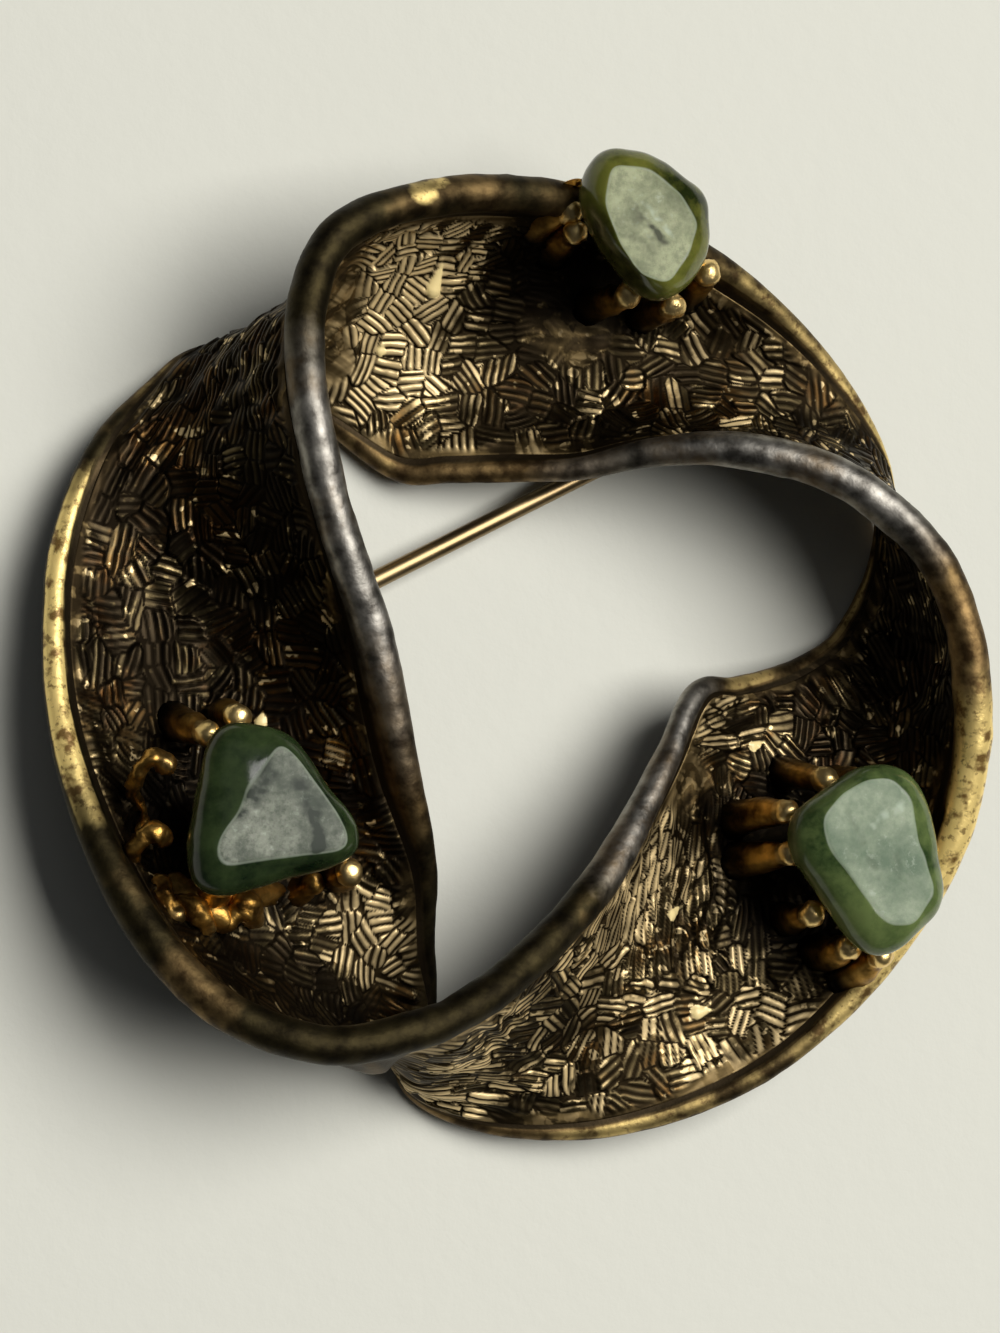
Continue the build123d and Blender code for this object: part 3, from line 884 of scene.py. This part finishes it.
def strand_mesh(strand, rng):
    """A lumpy round strand through a few points, rounded off at both ends."""
    table = np.array(strand)
    padded = np.concatenate([[2 * table[0] - table[1]], table, [2 * table[-1] - table[-2]]])
    rows = np.array([
        spline(*padded[k:k + 4], f)
        for k in range(len(table) - 1)
        for f in np.linspace(0, 1, STRAND_STEPS, endpoint=k == len(table) - 2)
    ])
    caps = []
    for end, nearer in ((0, 1), (-1, -2)):
        centre, radius = rows[end, :3], rows[end, 3]
        out = unit(centre - rows[nearer, :3])
        reach = radius * np.sin(STRAND_END_RINGS)
        caps.append(np.column_stack([centre + out * reach[:, None], radius * np.cos(STRAND_END_RINGS)]))
    rows = np.concatenate([caps[0][::-1], rows, caps[1]])
    # A strand's relief rises away from the wall, so its wall end is painted into the recess's shade.
    relief = np.linspace(0.34, 0.78, len(rows)) + 0.10 * lumps(rows[:, :3] * 0.8)
    return sweep(rows[:, :3], rows[:, 3], relief, rng, strand_lumps)


def crown(stone):
    """A stone's claws in one mesh, and for the left stone the strands too."""
    rng = np.random.default_rng(int(stone.length * 10))
    bars = []
    for k, (turn, reach) in enumerate(stone.claws):
        bend, thick = BENT.get((stone.name, k), (plain_bend, rng.uniform(0.88, 1.04)))
        if (stone.name, k) not in BRANCHED:
            bars.append(claw_mesh(stone, turn, reach, bend, thick, rng))
    if stone.name == "stone_left":
        bars.extend(strand_mesh(strand, rng) for strand in STRANDS)
    points, faces, relief = zip(*bars)
    starts = np.cumsum([0] + [len(p) for p in points])
    faces = np.concatenate([f + start for f, start in zip(faces, starts)])
    points = np.concatenate([kept_in_wall(p) for p in points])
    name = stone.name.replace("stone", "claws")
    return add_mesh(name, points, faces, {"relief": np.concatenate(relief)})


# Stones
# Outline of each flat top face: direction in degrees and distance in mm from the stone's middle.
TOP_FACES = {
    "stone_left": [(93, 3.26), (71, 2.53), (359, 2.65), (338, 3.71), (328, 3.76), (222, 4.28),
                   (206, 3.68), (190, 2.35), (150, 2.05), (118, 2.20)],
    "stone_right": [(102, 4.2), (82, 4.29), (61, 3.56), (26, 2.39), (333, 3.41), (300, 3.89),
                    (278, 3.43), (233, 1.99), (171, 2.9), (149, 3.85), (124, 4.01)],
    "stone_top": [(130, 3.64), (96, 2.58), (46, 2.05), (359, 2.36), (325, 2.4), (282, 3.38),
                  (254, 2.99), (216, 2.36), (167, 2.82)],
}
STONE_SIDES = 160
# How far a stone's foot reaches and where its widest level lies, as shares of its width and height.
stone_foot = 0.70
stone_waist = 0.52
# The angle at which a stone's rounded side ends, under its flat top face.
stone_shoulder = 0.70 * math.pi / 2
frost_inset = 0.28
frost_bulge = 0.05
# Over how many degrees the corners of a stone's outline and of its top face are rounded.
outline_rounding = 22
face_rounding = 11

# Marks on each stone's top: x and y from its middle, half length and half width in mm, the mark's
# direction in degrees and its strength, below zero for a pale one.
Mark = namedtuple("Mark", "x y length width turn strength")
MARKS = {
    "stone_top": [
        # The second and fourth marks, wide and faint beside the dark line, are painted shade along it.
        Mark(-0.35, -0.20, 1.6, 0.20, -46, 0.75), Mark(-0.50, -0.38, 1.7, 0.42, -46, 0.42),
        Mark(-0.05, 0.15, 1.5, 0.24, -46, -0.45), Mark(-0.9, -1.1, 1.6, 0.75, -46, 0.42),
    ],
    "stone_left": [
        Mark(1.75, -1.25, 1.5, 0.34, 97, 2.4), Mark(-1.45, 0.75, 1.9, 0.55, 58, 1.2),
        Mark(1.0, 1.0, 1.3, 0.55, -60, 0.9), Mark(0.2, -2.6, 1.6, 0.30, 5, 0.35),
    ],
    "stone_right": [
        Mark(-0.8, 0.4, 2.8, 0.30, 118, 0.35), Mark(1.0, -0.6, 2.2, 0.35, 100, 0.30),
        Mark(0.2, 2.2, 1.6, 0.30, 30, -0.45),
    ],
}


def marks_on(stone, points):
    """How strongly each point of a stone's top is marked, with broken lines."""
    total = np.zeros(points.shape[:-1])
    broken = 0.75 + 0.9 * grain(points * 2.1 + stone.turn) + 0.5 * grain(points * 5.0)
    for mark in MARKS[stone.name]:
        along, across = along_and_across(mark, points)
        core = np.exp(-((along / mark.length) ** 4) - (across / mark.width) ** 2)
        total = total + mark.strength * core * np.clip(broken, 0, 1.3)
    return total


def polar(outline, angles, smooth):
    """Distance from the middle to a closed outline along each angle, rounded by a running mean."""
    p = np.asarray(outline, float)
    p = p[np.argsort(np.arctan2(p[:, 1], p[:, 0]))]
    e = np.roll(p, -1, axis=0) - p
    x, y = np.cos(angles)[:, None], np.sin(angles)[:, None]
    det = x * -e[:, 1] + y * e[:, 0]
    det = np.where(np.abs(det) < 1e-9, np.inf, det)
    distance = (p[:, 0] * -e[:, 1] + p[:, 1] * e[:, 0]) / det
    share = (x * p[:, 1] - y * p[:, 0]) / det
    hit = (distance > 0) & (share >= -1e-6) & (share <= 1 + 1e-6)
    r = np.where(hit, distance, 0).max(1)
    span = int(round(smooth / 360 * len(angles)))
    kernel = np.hanning(2 * span + 3)[1:-1]
    return np.convolve(np.concatenate([r[-span:], r, r[:span]]), kernel / kernel.sum(), "valid")


def stone_mesh(stone):
    """A stone as rings from its foot over its waist and shoulder to the middle of its frosted top."""
    angles = np.linspace(0, 2 * math.pi, STONE_SIDES, endpoint=False)
    full = polar(np.array(stone.corners) * stone.length, angles, outline_rounding)
    turn, reach = np.array(TOP_FACES[stone.name]).T
    turn = np.radians(turn)
    corners = np.column_stack([reach * np.cos(turn), reach * np.sin(turn)])
    face = np.minimum(polar(corners, angles, face_rounding), full * 0.95)
    h = stone_height
    rings = [(full * stone_foot * share, 0.0, 0.0) for share in (0.12, 0.45, 0.8)]
    for s in np.linspace(0.02, 1, 16) * math.pi / 2:
        width = stone_foot + (1 - stone_foot) * math.sin(s) ** 0.8
        rings.append((full * width, h * stone_waist * (1 - math.cos(s)) ** 0.9, 0.0))
    top_cos, top_sin = math.cos(stone_shoulder), math.sin(stone_shoulder)
    for s in np.linspace(0.06, 0.97, 16) * stone_shoulder:
        share = (math.cos(s) - top_cos) / (1 - top_cos)
        rise = stone_waist + (1 - stone_waist) * math.sin(s) / top_sin
        rings.append((face + (full - face) * share, h * rise - 0.02, 0.0))
    rings += [(face - 0.02, h - 0.03, 0.5), (face - 0.12, h, 1.0), (face - frost_inset, h + 0.012, 1.0)]
    for share in np.linspace(0.9, 0.05, 26):
        rings.append(((face - frost_inset) * share, h + 0.012 + frost_bulge * (1 - share**2), 1.0))
    r = np.array([ring[0] for ring in rings])
    z, top = np.array([ring[1:] for ring in rings]).T[..., None] + np.zeros_like(r)
    points = np.stack([r * np.cos(angles), r * np.sin(angles), z], -1)
    away = unit(points - np.array([0, 0, h * 0.5]))
    bump = lumps(points * 0.55 + stone.length * 7) * 0.10 + lumps(points * 1.3 + stone.turn) * 0.035
    points = points + away * (bump * np.where(top > 0.4, 0.35, 1.0))[..., None]
    mark = marks_on(stone, points) * top
    points, faces, frost, level, mark = closed_bar(
        points + stone_centre(stone), top, np.clip(z / h, 0, 1), mark
    )
    name = stone.name.replace("stone", "pebble")
    return add_mesh(name, points, faces, {"frost": frost, "level": level, "mark": mark})


# Hinge bracket and catch
pin_turn = 27.6
pin_offset = 0.268 * ring_radius
pin_height = 1.3
pin_radius = 0.5
hinge_reach = 0.68 * ring_radius
catch_reach = 0.82 * ring_radius
eye_radius = 0.95
eye_width = 1.3
eye_side_clearance = 0.1
ear_width = 0.75
ear_length = 2.3
catch_width = 0.7
catch_length = 2.0
catch_clearance = 0.2
roof_clearance = 0.15
bracket_chamfer = 0.18
bracket_rounding = 0.12
bracket_inset = 0.10
PIN_X = np.array([math.cos(math.radians(pin_turn)), math.sin(math.radians(pin_turn)), 0.0])
PIN_Y = np.array([-PIN_X[1], PIN_X[0], 0.0])

# The quads that close a bracket's ends, by the places of its outline's points.
BRACKET_END = [
    (15, 0, 1, 2), (15, 2, 3, 4), (15, 4, 5, 14), (14, 5, 6, 13), (13, 6, 7, 12), (12, 7, 8, 9),
    (12, 9, 10, 11),
]


def bracket(name, reach, length, side, gap, bottom, roof):
    """A slotted block soldered under the wall: a U-shaped section drawn out along the pin."""
    under = PIN_Y * pin_offset + PIN_X * reach
    top = FLOOR_NET[np.argmin(np.sum((FLOOR_NET[:, :2] - under[:2]) ** 2, -1))][2]
    w, g, c = gap / 2 + side, gap / 2, bracket_chamfer
    right = [
        (g - c, roof), (g, roof - c), (g, bottom + c * 0.5), (g + c * 0.5, bottom), (w - c, bottom),
        (w, bottom + c), (w, top), (w * 0.4, top),
    ]
    left = [(-y, z) for y, z in reversed(right)]
    outline = left[2:] + right + left[:2]
    end = length / 2
    near_end = end - bracket_rounding
    sections = [
        (-end, bracket_inset), (-near_end, 0.0), (0, -0.02), (near_end, 0.0), (end, bracket_inset)
    ]
    points = []
    for along, inset in sections:
        for y, z in outline:
            y = y - math.copysign(inset, y) * (abs(y) > g + 0.01)
            z = z + (inset if z < (bottom + top) / 2 else 0)
            place = PIN_Y * (pin_offset + y) + PIN_X * (reach + along)
            points.append((place[0], place[1], z))
    last = len(points) - len(outline)
    caps = BRACKET_END + [[last + k for k in reversed(quad)] for quad in BRACKET_END]
    faces = np.concatenate([grid_faces(len(sections), len(outline), wrap=True), caps])
    return add_mesh(name, points, faces[:, ::-1], {"relief": np.full(len(points), 0.4)}, smooth=False)


# Materials
def rgba(value):
    """What a colour socket takes, from a tuple, from a number for a grey or from another socket."""
    if isinstance(value, bpy.types.NodeSocket):
        return value
    return (*value, 1) if isinstance(value, tuple) else (value, value, value, 1)


class Nodes:
    """A short way to write a material's nodes."""

    def __init__(self, name):
        self.material = bpy.data.materials.new(name)
        self.material.use_nodes = True
        self.tree = self.material.node_tree
        self.shader = self.tree.nodes["Principled BSDF"]

    def put(self, value, socket):
        if isinstance(value, bpy.types.NodeSocket):
            self.tree.links.new(value, socket)
        else:
            socket.default_value = value

    def new(self, kind, inputs, **settings):
        node = self.tree.nodes.new(kind)
        for key, value in settings.items():
            setattr(node, key, value)
        for key, value in inputs.items():
            self.put(value, node.inputs[key])
        return node.outputs

    def attribute(self, name):
        return self.new("ShaderNodeAttribute", {}, attribute_name=name)["Fac"]

    def noise(self, scale, detail=3.0, rough=0.55, stretch=(1, 1, 1), shift=0.0):
        place = self.new("ShaderNodeTexCoord", {})["Object"]
        move = (shift, shift * 0.7, shift * 0.3)
        place = self.new("ShaderNodeMapping", {"Vector": place, "Location": move, "Scale": stretch})[0]
        inputs = {"Vector": place, "Scale": scale, "Detail": detail, "Roughness": rough}
        return self.new("ShaderNodeTexNoise", inputs)["Fac"]

    def ramp(self, value, *stops):
        node = self.tree.nodes.new("ShaderNodeValToRGB")
        for element, (at, colour) in zip(node.color_ramp.elements, stops):
            element.position = at
            element.color = rgba(colour)
        self.put(value, node.inputs["Fac"])
        return node.outputs["Color"]

    def rise(self, value, low, high, top=1.0):
        """A grey that is black up to low and top from high on."""
        return self.ramp(value, (low, 0.0), (high, top))

    def math(self, kind, a, b):
        return self.new("ShaderNodeMath", {0: a, 1: b}, operation=kind)[0]

    def times(self, a, b):
        return self.math("MULTIPLY", a, b)

    def plus(self, a, b):
        return self.math("ADD", a, b)

    def minus(self, a, b):
        return self.math("SUBTRACT", a, b)

    def mix(self, share, a, b):
        inputs = {0: share, 6: rgba(a), 7: rgba(b)}
        return self.new("ShaderNodeMix", inputs, data_type="RGBA")[2]

    def blend(self, value, low, high, a, b):
        """Colour a where value is under low, b where it is over high, and between them a blend."""
        return self.mix(self.rise(value, low, high), a, b)

    def bump(self, height, strength, distance):
        inputs = {"Strength": strength, "Distance": distance, "Height": height}
        self.put(self.new("ShaderNodeBump", inputs)["Normal"], self.shader.inputs["Normal"])

    def finish(self, colour, rough, metallic):
        for key, value in (("Base Color", colour), ("Roughness", rough), ("Metallic", metallic)):
            self.put(value, self.shader.inputs[key])
        return self.material


GOLD = (0.80, 0.60, 0.30)
# The near-black of the painted shade in the recesses round the crowns and at the claws' roots.
SHADE_BLACK = (0.010, 0.008, 0.006)


def hatched_metal():
    m = Nodes("hatched_brass")
    gilt = m.attribute("gilt")
    relief = m.attribute("relief")
    drop = m.attribute("drop")
    luck = m.times(m.minus(m.attribute("worn"), 0.25), 0.90)
    gilding_and_glint = m.plus(m.times(gilt, 1.15), luck)
    gilding_and_glint = m.plus(gilding_and_glint, m.times(m.minus(m.noise(420, 4, 0.6), 0.5), 1.3))
    # Painted glints: tiny random specks pushed towards gold, standing in for sparkle on the ridges.
    painted_glint = m.rise(m.noise(1300, 2, 0.5, shift=0.9), 0.58, 0.70)
    gilding_and_glint = m.plus(gilding_and_glint, m.times(painted_glint, 0.75))
    rust = m.rise(m.noise(260, 4, 0.65, shift=0.4), 0.50, 0.66)
    dark = m.mix(rust, (0.026, 0.019, 0.011), (0.050, 0.024, 0.008))
    bronze = m.mix(rust, (0.120, 0.090, 0.042), (0.150, 0.080, 0.024))
    crest = m.blend(gilding_and_glint, 0.30, 0.80, dark, bronze)
    crest = m.blend(gilding_and_glint, 0.80, 1.0, crest, GOLD)
    height = m.rise(relief, 0.30, 0.90)
    groove = m.mix(gilt, (0.007, 0.005, 0.003), (0.024, 0.016, 0.007))
    colour = m.mix(height, groove, crest)
    streak = m.blend(gilding_and_glint, 0.4, 1.0, (0.055, 0.037, 0.018), (0.42, 0.29, 0.12))
    smooth = m.mix(relief, (0.014, 0.010, 0.005), streak)
    colour = m.mix(m.times(m.attribute("calm"), 0.85), colour, smooth)
    # Painted shade: the recess round each crown is darkened towards black.
    colour = m.mix(m.times(m.attribute("painted_shade"), 0.85), colour, SHADE_BLACK)
    colour = m.mix(drop, colour, (1.0, 0.80, 0.38))
    bare = m.times(m.rise(gilding_and_glint, 0.9, 1.0, 0.72), height)
    bare = m.plus(bare, m.times(drop, 0.42))
    m.bump(m.noise(2600, 2), 0.25, 0.00004)
    return m.finish(colour, m.mix(height, 0.6, 0.31), m.minus(1.0, bare))


def cast_metal():
    m = Nodes("cast_brass")
    relief = m.attribute("relief")
    bead = m.attribute("bead")
    fine = m.noise(900, 4)
    broad = m.noise(230, 4, 0.6)
    floor = m.mix(m.times(m.attribute("gilt"), 0.6), (0.022, 0.016, 0.009), (0.075, 0.052, 0.028))
    floor = m.blend(relief, 0.30, 0.8, floor, (0.16, 0.11, 0.055))

    def share(name, spread):
        """A tone's share, broken up by the broad noise."""
        wave = m.times(m.minus(broad, 0.5), spread)
        return m.rise(m.plus(m.attribute(name), wave), 0.25, 0.75)

    gold_share = share("gold", 0.9)
    olive = m.blend(fine, 0.35, 0.70, (0.014, 0.011, 0.006), (0.046, 0.036, 0.016))
    warm = m.blend(fine, 0.38, 0.62, (0.080, 0.048, 0.020), (0.29, 0.19, 0.080))
    # The steel's light grey stands in for the tubes' sheen: a painted highlight over grey tarnish.
    steel_and_sheen = m.blend(fine, 0.35, 0.68, (0.105, 0.096, 0.083), (0.44, 0.415, 0.37))
    steel_and_sheen = m.mix(m.rise(broad, 0.52, 0.68, 0.75), steel_and_sheen, (0.120, 0.074, 0.028))
    gold = m.blend(fine, 0.35, 0.46, (0.24, 0.14, 0.040), (1.0, 0.75, 0.27))
    gold = m.mix(m.ramp(m.noise(2400, 3, 0.6), (0.34, 0.8), (0.44, 0.0)), gold, (0.20, 0.12, 0.035))
    edge_tone = m.mix(share("warm", 1.0), olive, warm)
    edge_tone = m.mix(share("steel_and_sheen", 0.7), edge_tone, steel_and_sheen)
    edge_tone = m.mix(gold_share, edge_tone, gold)
    colour = m.mix(bead, floor, edge_tone)
    # Painted shade: the recess round each crown is darkened towards black.
    colour = m.mix(m.attribute("painted_shade"), colour, SHADE_BLACK)
    gilded = m.times(gold_share, bead)
    rough = m.mix(m.attribute("steel_and_sheen"), 0.56, 0.40)
    rough = m.mix(gilded, rough, 0.27)
    rough = m.mix(m.rise(fine, 0.3, 0.7, 0.5), rough, 0.56)
    m.bump(m.noise(1500, 5, 0.6), 0.45, 0.00010)
    return m.finish(colour, rough, m.minus(1.0, m.times(gilded, 0.55)))


def claw_metal():
    m = Nodes("claw_brass")
    relief = m.attribute("relief")
    body = m.blend(m.noise(800, 3), 0.35, 0.65, (0.10, 0.048, 0.010), (0.74, 0.42, 0.10))
    # Painted shade: claws and strands go black towards their roots in the recess.
    colour = m.blend(relief, 0.22, 0.60, SHADE_BLACK, body)
    colour = m.blend(relief, 0.72, 0.95, colour, (1.0, 0.72, 0.30))
    m.bump(m.noise(1400, 4, 0.6), 0.6, 0.00010)
    return m.finish(colour, m.mix(relief, 0.42, 0.35), 1.0)


def pin_metal():
    m = Nodes("pin_brass")
    streak = m.noise(700, 3, stretch=(0.25, 0.5, 3))
    colour = m.mix(streak, (0.14, 0.095, 0.045), (0.46, 0.34, 0.18))
    m.bump(m.noise(1500, 3, stretch=(0.3, 0.5, 3)), 0.25, 0.00003)
    return m.finish(colour, m.ramp(streak, (0.3, 0.30), (0.7, 0.42)), 1.0)


# A stone's colours, its sides dark and light and its frosted top dark and light, and how strongly the
# top is flecked.
StoneLook = namedtuple("StoneLook", "deep pale top_deep top_pale fleck")
STONE_LOOKS = {
    "stone_left": StoneLook(
        (0.004, 0.010, 0.004), (0.034, 0.054, 0.018),
        (0.034, 0.048, 0.028), (0.235, 0.252, 0.195), 0.75,
    ),
    "stone_right": StoneLook(
        (0.020, 0.042, 0.012), (0.125, 0.170, 0.055),
        (0.10, 0.155, 0.09), (0.29, 0.345, 0.235), 0.40,
    ),
    "stone_top": StoneLook(
        (0.012, 0.018, 0.003), (0.130, 0.135, 0.024),
        (0.120, 0.140, 0.066), (0.350, 0.375, 0.215), 0.60,
    ),
}


def stone_material(stone):
    m = Nodes(stone.name.replace("stone", "tumbled"))
    look = STONE_LOOKS[stone.name]
    cloud = m.noise(320, 6, 0.65, shift=stone.length * 0.013)
    speck = m.noise(1500, 5, 0.75)
    frost = m.attribute("frost")
    mark = m.attribute("mark")
    side = m.blend(cloud, 0.38, 0.64, look.deep, look.pale)
    side = m.mix(m.rise(m.noise(700, 4, 0.6, shift=0.2), 0.50, 0.64, 0.5), side, look.pale)
    side = m.mix(m.ramp(m.attribute("level"), (0.1, 0.6), (0.75, 0.0)), side, (0.17, 0.155, 0.042))
    top = m.blend(cloud, 0.34, 0.60, look.top_deep, look.top_pale)
    fleck = m.times(m.ramp(speck, (0.36, 1.0), (0.54, 0.0)), look.fleck)
    top = m.mix(fleck, top, look.top_deep)
    top = m.mix(m.rise(speck, 0.58, 0.72, 0.55), top, (0.44, 0.50, 0.40))
    top = m.blend(mark, 0.10, 0.95, top, m.mix(0.15, look.deep, look.pale))
    top = m.mix(m.rise(m.times(mark, -1.0), 0.1, 0.6, 0.8), top, (0.50, 0.58, 0.46))
    colour = m.mix(frost, side, top)
    # Painted highlight: a pale line round the edge of the frosted top.
    painted_edge_highlight = m.times(m.times(m.times(frost, m.minus(1.0, frost)), 1.1), m.minus(1.0, mark))
    colour = m.mix(painted_edge_highlight, colour, (0.40, 0.46, 0.36))
    m.bump(m.noise(1800, 4), 0.2, 0.00006)
    m.shader.inputs["Specular IOR Level"].default_value = 0.38
    m.shader.inputs["Subsurface Weight"].default_value = 0.20
    m.shader.inputs["Subsurface Radius"].default_value = (0.4, 0.8, 0.35)
    m.shader.inputs["Subsurface Scale"].default_value = 0.0012
    return m.finish(colour, m.mix(frost, 0.16, 0.56), 0.0)


def floor_material():
    m = Nodes("pale_paper")
    colour = m.mix(m.noise(9, 3), (0.685, 0.685, 0.615), (0.715, 0.715, 0.645))
    m.bump(m.noise(700, 4), 0.12, 0.0004)
    return m.finish(colour, 0.75, 0.0)


# Putting the piece together
claws = claw_metal()
dress(ribbon(), cast_metal(), "ring_frame")
hatched = hatched_metal()
patch_table = patches()
for piece, lap in UPWARD_LAPS.items():
    dress(hatched_skin(piece, lap, patch_table), hatched, "ring_frame")
for stone in STONES:
    dress(crown(stone), claws, "ring_frame")
    dress(stone_mesh(stone), stone_material(stone), stone.name)

hinge = bracket(
    "hinge_bracket", -hinge_reach, ear_length, ear_width, eye_width + 2 * eye_side_clearance,
    pin_height - eye_radius, pin_height + eye_radius + roof_clearance,
)
catch = bracket(
    "catch_block", catch_reach, catch_length, catch_width, 2 * (pin_radius + catch_clearance),
    pin_height - pin_radius, pin_height + pin_radius + catch_clearance,
)
for piece in (hinge, catch):
    dress(piece, claws, "ring_frame")

wire = pin_metal()
for name in ("pin_stem", "hinge_rivet"):
    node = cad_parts[name]
    node.data.materials.clear()
    node.data.materials.append(wire)

# Floor, sizes in mm, a little under the brooch
floor_half = 600
floor_level = -0.01
floor = add_mesh(
    "floor",
    [(x * floor_half, y * floor_half, floor_level) for x, y in ((-1, -1), (1, -1), (1, 1), (-1, 1))],
    np.array([(0, 1, 2, 3)]), smooth=False,
)
floor.data.materials.append(floor_material())

# The camera fitted to the photo: how many of the photo's pixels a millimetre takes up at the target, the
# photo's height in pixels, and how many pixels the target lies off the photo's middle. The distance and
# the target are in metres.
pixels_per_mm = 19.06
photo_height = 1333
target_off_x, target_off_y = 14, 10.5
camera_lean = math.radians(20)
camera_away = 0.2
target = Vector((0, 0, 0.005))
lean_way = Vector((-0.96, -0.28)).normalized() * math.sin(camera_lean)
back = Vector((*lean_way, math.cos(camera_lean)))
right = Vector((0, 1, 0)).cross(back).normalized()
camera_data = bpy.data.cameras.new("camera")
camera_data.sensor_fit = "VERTICAL"
camera_data.sensor_height = 36
camera_data.sensor_width = 27
camera_data.lens = pixels_per_mm * camera_away / MM * camera_data.sensor_height / photo_height
camera_data.shift_x = -target_off_x / photo_height
camera_data.shift_y = -target_off_y / photo_height
camera_data.clip_start = 0.01
camera_data.clip_end = 10
camera = add_object("camera", camera_data)
turned = Matrix((right, back.cross(right), back)).transposed().to_4x4()
camera.matrix_world = Matrix.Translation(target + back * camera_away) @ turned
bpy.context.scene.camera = camera


def area_light(name, turn, lift, away, size, power, colour):
    """A lamp turned and lifted by degrees, away in metres, that shines at the middle of the brooch."""
    data = bpy.data.lights.new(name, "AREA")
    data.shape = "RECTANGLE"
    data.size, data.size_y = size
    data.energy = power
    data.color = colour
    turn, lift = math.radians(turn), math.radians(lift)
    way = Vector((math.cos(lift) * math.cos(turn), math.cos(lift) * math.sin(turn), math.sin(lift)))
    obj = add_object(name, data)
    obj.location = way * away
    obj.rotation_euler = way.to_track_quat("Z", "Y").to_euler()


area_light("window", 22, 66, 0.9, (0.68, 0.64), 10.2, (1.0, 0.985, 0.95))
area_light("room", 130, 62, 1.2, (1.0, 1.0), 0.4, (0.93, 0.96, 1.0))

world = bpy.data.worlds.new("room")
world.use_nodes = True
background = world.node_tree.nodes["Background"]
background.inputs["Color"].default_value = (0.80, 0.85, 0.90, 1)
background.inputs["Strength"].default_value = 0.03
bpy.context.scene.world = world
bpy.context.scene.view_settings.view_transform = "Standard"
